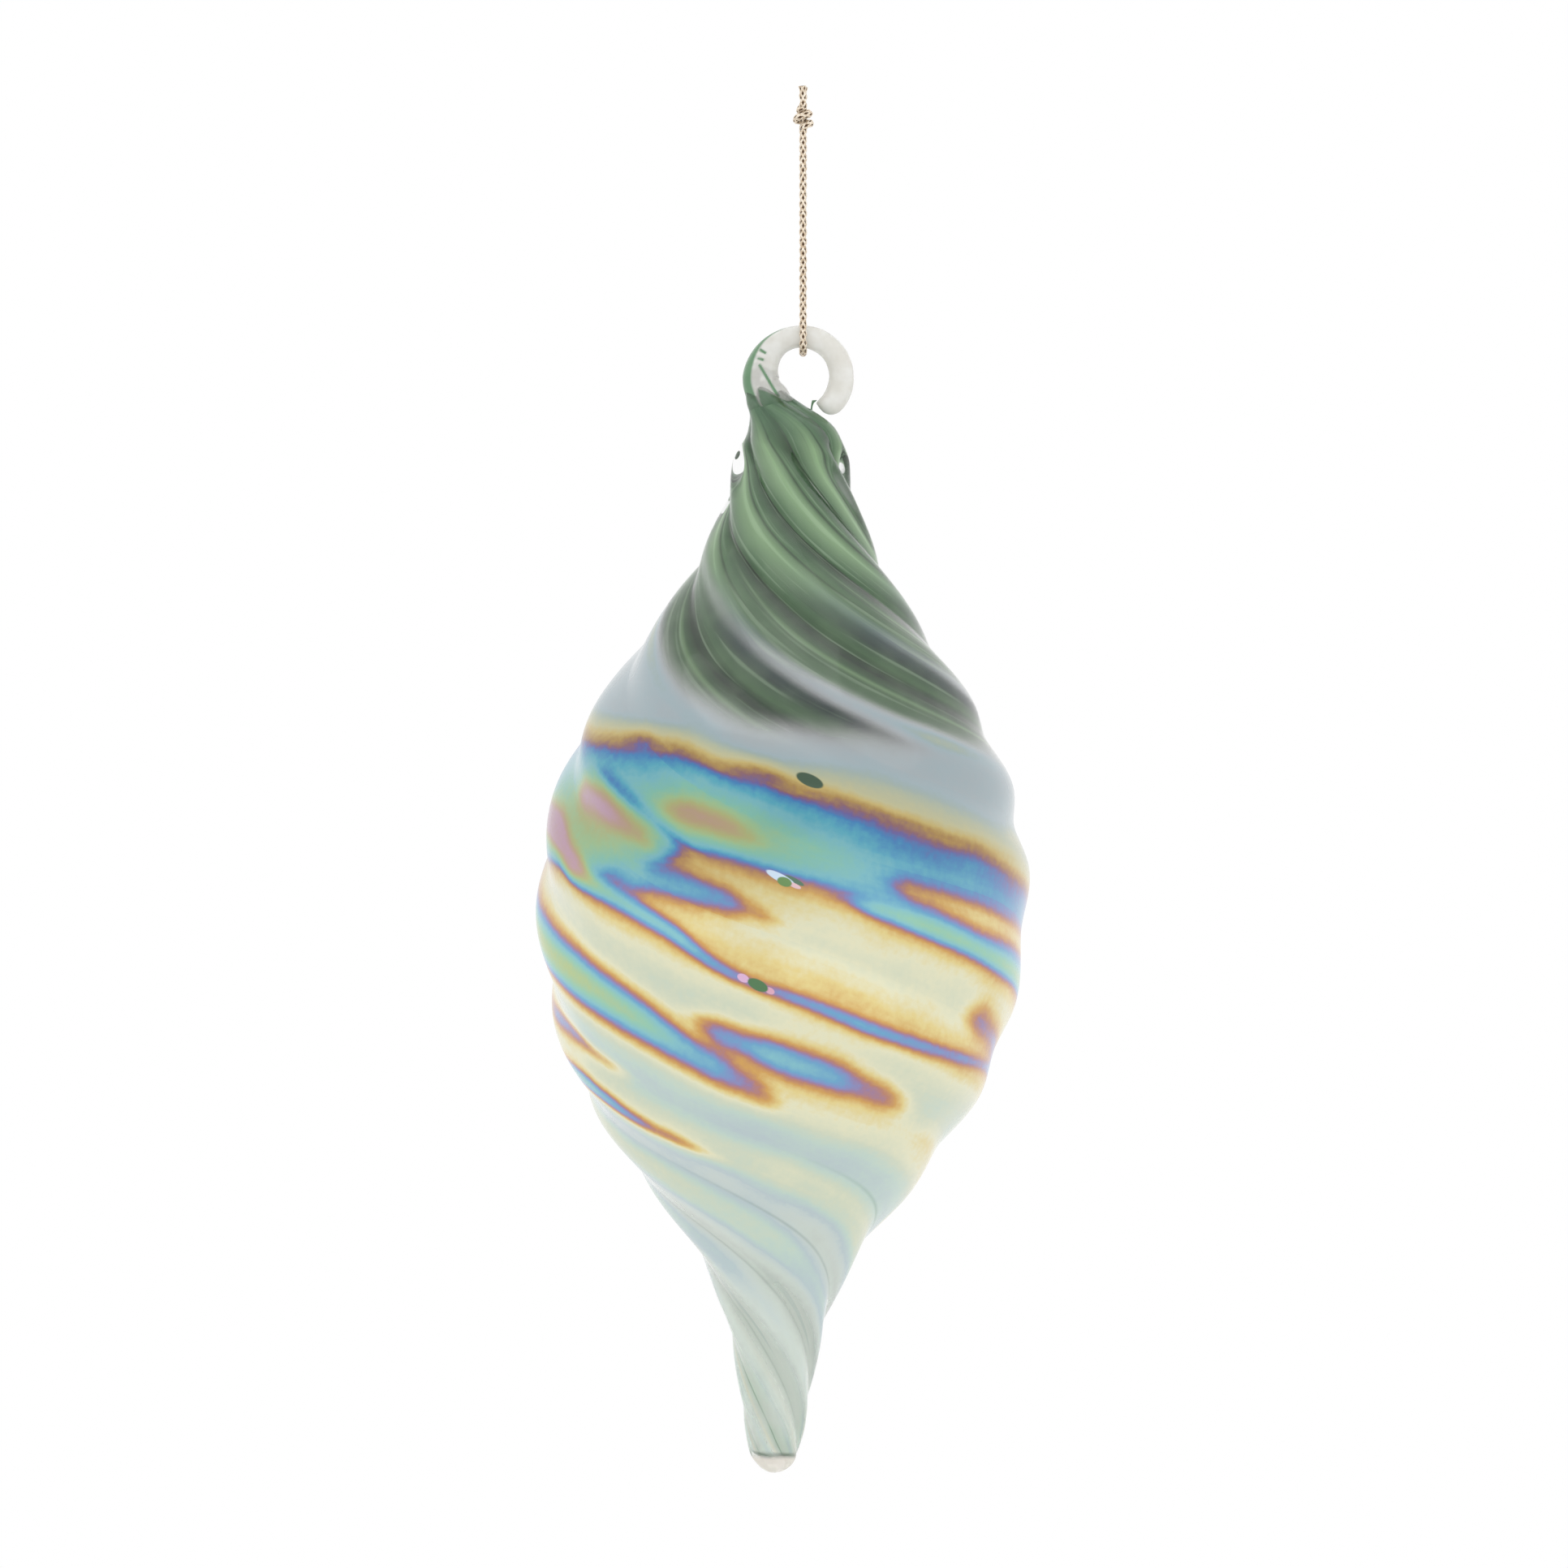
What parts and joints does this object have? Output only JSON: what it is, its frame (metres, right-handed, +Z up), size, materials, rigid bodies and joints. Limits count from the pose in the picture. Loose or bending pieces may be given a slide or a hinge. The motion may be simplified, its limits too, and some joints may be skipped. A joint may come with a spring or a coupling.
{
  "type": "icicle hanging ornament",
  "caption": "Twisted ribbed blown-glass icicle ornament with a curled glass hook, hanging on a knotted metallic cord loop.",
  "frame": {"origin": "the hang point: inside top of the cord loop, at the underside of the knot", "axes": "+Z up along the hanging cord, front of the ornament towards -Y, the hook's open side towards +X"},
  "size_m": [0.0774, 0.0764, 0.2166],
  "materials": {
    "clear_glass": "clear, fire polished, thin iridescent lustre",
    "lustre_glass": "translucent green with an iridescent lustre",
    "hook_glass": "clear to milky, fire polished",
    "metallic_cord": "fine metallic braid, champagne gold"
  },
  "bodies": {
    "knot": {"cord_knot": "metallic_cord", "cord_tails": "metallic_cord"},
    "loop": {"cord_loop": "metallic_cord"},
    "glass": {"clear_casing": "clear_glass", "green_core": "lustre_glass", "hanging_hook": "hook_glass"}
  },
  "joints": [
    {"name": "cord_twist", "type": "hinge", "parent": "knot", "child": "loop", "pos_m": [0, 0, 0], "axis": [0, 0, 1], "range_deg": [-180, 180]},
    {"name": "ring_swing", "type": "hinge", "parent": "loop", "child": "glass", "pos_m": [0, 0, -0.0324], "axis": [1, 0, 0], "range_deg": [-120, 120]}
  ]
}
